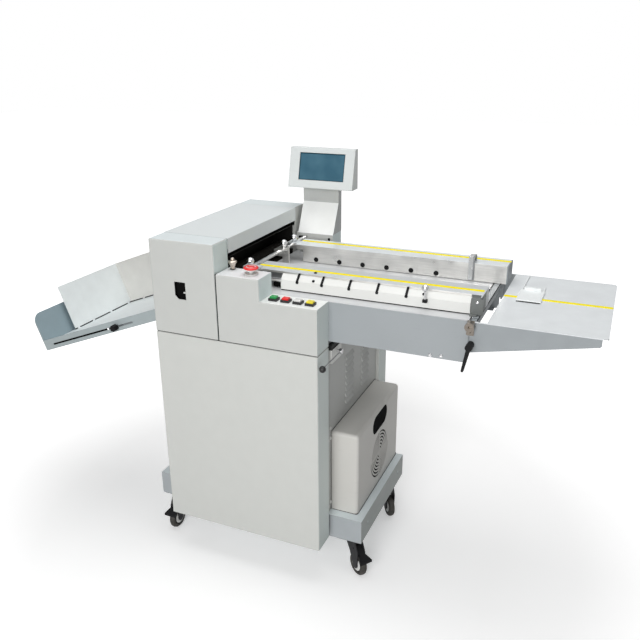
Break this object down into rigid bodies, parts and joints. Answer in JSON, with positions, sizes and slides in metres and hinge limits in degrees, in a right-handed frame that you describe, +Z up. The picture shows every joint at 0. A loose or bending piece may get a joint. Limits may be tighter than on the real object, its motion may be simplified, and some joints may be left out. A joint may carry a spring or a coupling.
{
  "type": "floor-standing paper creasing machine",
  "caption": "Floor-standing paper creasing machine on castors: hinged head lid, air feed table with side guides, extension table, sloping delivery tray, display and pump box.",
  "frame": {"origin": "On the floor under the middle of the machine's whole outline.", "axes": "+X runs from the delivery tray to the feed table, +Y from the operator's side to the back, +Z up."},
  "size_m": [1.7686, 0.6036, 1.238],
  "materials": {
    "cover_paint": "fine satin powder coat",
    "lid_paint": "fine satin powder coat",
    "frame_paint": "fine satin powder coat",
    "pump_paint": "fine satin powder coat",
    "white_paint": "satin white paint",
    "guide_steel": "brushed",
    "inner_steel": "dark oiled steel",
    "bright_chrome": "polished",
    "roller_rubber": "ground rubber",
    "wheel_tyre": "worn plastic tread",
    "castor_black": "black gloss paint",
    "pedal_black": "moulded",
    "switch_black": "moulded",
    "stop_red": "moulded",
    "button_green_plastic": "moulded",
    "button_red_plastic": "moulded",
    "button_white_plastic": "moulded",
    "button_yellow_plastic": "moulded",
    "screen_glass": "smooth"
  },
  "bodies": {
    "machine": {"base_frame": "frame_paint", "castor_plates": "castor_black", "carcass": "frame_paint", "lower_front_cover": "cover_paint", "lower_rear_cover": "cover_paint", "louvre_panel": "frame_paint", "head_front_cap": "cover_paint", "rear_head_cover": "cover_paint", "control_cover": "cover_paint", "crease_frame": "inner_steel", "lid_hinge_bar": "inner_steel", "control_bodies": "switch_black", "feed_deck": "frame_paint", "side_beams": "frame_paint", "cross_shaft": "bright_chrome", "extension_table": "frame_paint", "end_latch": "bright_chrome", "lever_bracket": "white_paint", "pump_box": "pump_paint", "display_tower": "cover_paint", "display_housing": "cover_paint", "display_screen": "screen_glass", "tray_rails": "frame_paint"},
    "lid": {"lid": "lid_paint"},
    "lower_roller": {"lower_feed_roller": "roller_rubber"},
    "upper_roller": {"upper_feed_roller": "roller_rubber"},
    "blade": {"crease_blade": "inner_steel"},
    "estop": {"estop_head": "stop_red"},
    "gap_knob": {"gap_knob": "bright_chrome"},
    "front_guide": {"front_guide": "guide_steel", "front_manifold": "white_paint", "manifold_clips": "switch_black"},
    "front_guide_knob": {"front_guide_knob": "bright_chrome"},
    "stop_knob": {"stop_knob": "bright_chrome"},
    "rear_guide": {"rear_guide": "guide_steel", "rear_nozzles": "switch_black"},
    "rear_guide_knob": {"rear_guide_knob": "bright_chrome"},
    "tail_stop_arm": {"tail_stop_arm": "bright_chrome"},
    "separator": {"separator": "inner_steel"},
    "separator_knob": {"separator_knob": "bright_chrome"},
    "tail_guide": {"tail_guide": "white_paint"},
    "clamp_lever": {"clamp_lever": "pedal_black"},
    "air_lever": {"air_lever": "pedal_black"},
    "delivery_tray": {"delivery_tray": "frame_paint", "tray_stop_plate": "white_paint"},
    "tray_knob": {"tray_knob": "pedal_black"},
    "button_green": {"button_green": "button_green_plastic"},
    "button_red": {"button_red": "button_red_plastic"},
    "button_white": {"button_white": "button_white_plastic"},
    "button_yellow": {"button_yellow": "button_yellow_plastic"},
    "fork_front_right": {"castor_fork_front_right": "castor_black"},
    "wheel_front_right": {"castor_wheel_front_right": "wheel_tyre"},
    "fork_front_left": {"castor_fork_front_left": "castor_black"},
    "wheel_front_left": {"castor_wheel_front_left": "wheel_tyre"},
    "fork_rear_right": {"castor_fork_rear_right": "castor_black"},
    "wheel_rear_right": {"castor_wheel_rear_right": "wheel_tyre"},
    "fork_rear_left": {"castor_fork_rear_left": "castor_black"},
    "wheel_rear_left": {"castor_wheel_rear_left": "wheel_tyre"},
    "pedal_front_right": {"brake_pedal_front_right": "pedal_black"},
    "pedal_front_left": {"brake_pedal_front_left": "pedal_black"}
  },
  "joints": [
    {"name": "lid_hinge", "type": "hinge", "parent": "machine", "child": "lid", "pos_m": [-0.33016, 0.00275, 0.996], "axis": [0, -1, 0], "range_deg": [0, 95]},
    {"name": "lower_roller_turn", "type": "hinge", "parent": "machine", "child": "lower_roller", "pos_m": [-0.16116, 0.00275, 0.88075], "axis": [0, 1, 0], "continuous": true},
    {"name": "upper_roller_turn", "type": "hinge", "parent": "machine", "child": "upper_roller", "pos_m": [-0.16116, 0.00275, 0.92125], "axis": [0, 1, 0], "continuous": true},
    {"name": "blade_stroke", "type": "slide", "parent": "machine", "child": "blade", "axis": [0, 0, 1], "range_m": [-0.006, 0], "stiffness_N_per_m": 10000, "springref_m": 0.003},
    {"name": "estop_push", "type": "slide", "parent": "machine", "child": "estop", "axis": [0, 0, 1], "range_m": [-0.005, 0], "stiffness_N_per_m": 800, "springref_m": 0.002},
    {"name": "gap_knob_turn", "type": "hinge", "parent": "machine", "child": "gap_knob", "pos_m": [-0.10616, -0.23425, 0.963], "axis": [0, 0, 1], "continuous": true},
    {"name": "front_guide_slide", "type": "slide", "parent": "machine", "child": "front_guide", "axis": [0, 1, 0], "range_m": [-0.025, 0.07]},
    {"name": "front_guide_knob_turn", "type": "hinge", "parent": "front_guide", "child": "front_guide_knob", "pos_m": [-0.08916, -0.16325, 0.957], "axis": [0, 0, 1], "continuous": true},
    {"name": "stop_knob_turn", "type": "hinge", "parent": "front_guide", "child": "stop_knob", "pos_m": [0.43184, -0.18325, 0.94], "axis": [0, 0, 1], "continuous": true},
    {"name": "rear_guide_slide", "type": "slide", "parent": "machine", "child": "rear_guide", "axis": [0, 1, 0], "range_m": [-0.02, 0.045]},
    {"name": "rear_guide_knob_turn", "type": "hinge", "parent": "rear_guide", "child": "rear_guide_knob", "pos_m": [-0.08916, 0.12975, 0.957], "axis": [0, 0, 1], "continuous": true},
    {"name": "tail_stop_slide", "type": "slide", "parent": "rear_guide", "child": "tail_stop_arm", "axis": [1, 0, 0], "range_m": [-0.45, 0.09]},
    {"name": "separator_slide", "type": "slide", "parent": "machine", "child": "separator", "axis": [0, 1, 0], "range_m": [-0.03, 0.02]},
    {"name": "separator_knob_turn", "type": "hinge", "parent": "separator", "child": "separator_knob", "pos_m": [-0.08916, 0.05575, 0.957], "axis": [0, 0, 1], "continuous": true},
    {"name": "tail_guide_slide", "type": "slide", "parent": "machine", "child": "tail_guide", "axis": [1, 0, 0], "range_m": [-0.035, 0.165]},
    {"name": "clamp_lever_turn", "type": "hinge", "parent": "machine", "child": "clamp_lever", "pos_m": [0.56484, -0.23625, 0.838], "axis": [0, 1, 0], "range_deg": [-75, 75]},
    {"name": "air_lever_tilt", "type": "hinge", "parent": "machine", "child": "air_lever", "pos_m": [0.18884, -0.15825, 0.733], "axis": [1, 0, 0], "range_deg": [-12, 12]},
    {"name": "tray_slide", "type": "slide", "parent": "machine", "child": "delivery_tray", "axis": [0.9348, 0, 0.3551], "range_m": [-0.062, 0.034]},
    {"name": "tray_knob_turn", "type": "hinge", "parent": "machine", "child": "tray_knob", "pos_m": [-0.53338, -0.23625, 0.72923], "axis": [0, 1, 0], "continuous": true},
    {"name": "button_green_push", "type": "slide", "parent": "machine", "child": "button_green", "axis": [0, 0, 1], "range_m": [-0.0025, 0], "stiffness_N_per_m": 600, "springref_m": 0.001},
    {"name": "button_red_push", "type": "slide", "parent": "machine", "child": "button_red", "axis": [0, 0, 1], "range_m": [-0.0025, 0], "stiffness_N_per_m": 600, "springref_m": 0.001},
    {"name": "button_white_push", "type": "slide", "parent": "machine", "child": "button_white", "axis": [0, 0, 1], "range_m": [-0.0025, 0], "stiffness_N_per_m": 600, "springref_m": 0.001},
    {"name": "button_yellow_push", "type": "slide", "parent": "machine", "child": "button_yellow", "axis": [0, 0, 1], "range_m": [-0.0025, 0], "stiffness_N_per_m": 600, "springref_m": 0.001},
    {"name": "swivel_front_right", "type": "hinge", "parent": "machine", "child": "fork_front_right", "pos_m": [0.23384, -0.16425, 0.11], "axis": [0, 0, 1], "continuous": true},
    {"name": "wheel_turn_front_right", "type": "hinge", "parent": "fork_front_right", "child": "wheel_front_right", "pos_m": [0.25973, -0.18306, 0.0375], "axis": [0.5878, 0.809, 0], "continuous": true},
    {"name": "brake_tilt_front_right", "type": "hinge", "parent": "fork_front_right", "child": "pedal_front_right", "pos_m": [0.25326, -0.17836, 0.094], "axis": [0.5878, 0.809, 0], "range_deg": [-14, 6]},
    {"name": "swivel_front_left", "type": "hinge", "parent": "machine", "child": "fork_front_left", "pos_m": [-0.39716, -0.16425, 0.11], "axis": [0, 0, 1], "continuous": true},
    {"name": "wheel_turn_front_left", "type": "hinge", "parent": "fork_front_left", "child": "wheel_front_left", "pos_m": [-0.39716, -0.19625, 0.0375], "axis": [1, 0, 0], "continuous": true},
    {"name": "brake_tilt_front_left", "type": "hinge", "parent": "fork_front_left", "child": "pedal_front_left", "pos_m": [-0.39716, -0.18825, 0.094], "axis": [1, 0, 0], "range_deg": [-14, 6]},
    {"name": "swivel_rear_right", "type": "hinge", "parent": "machine", "child": "fork_rear_right", "pos_m": [0.23384, 0.16975, 0.11], "axis": [0, 0, 1], "continuous": true},
    {"name": "wheel_turn_rear_right", "type": "hinge", "parent": "fork_rear_right", "child": "wheel_rear_right", "pos_m": [0.25265, 0.14386, 0.0375], "axis": [0.809, 0.5878, 0], "continuous": true},
    {"name": "swivel_rear_left", "type": "hinge", "parent": "machine", "child": "fork_rear_left", "pos_m": [-0.39716, 0.16975, 0.11], "axis": [0, 0, 1], "continuous": true},
    {"name": "wheel_turn_rear_left", "type": "hinge", "parent": "fork_rear_left", "child": "wheel_rear_left", "pos_m": [-0.38887, 0.13884, 0.0375], "axis": [0.9659, 0.2588, 0], "continuous": true}
  ],
  "couplings": [
    {"joint": "upper_roller_turn", "follows": "lower_roller_turn", "ratio": -1}
  ]
}
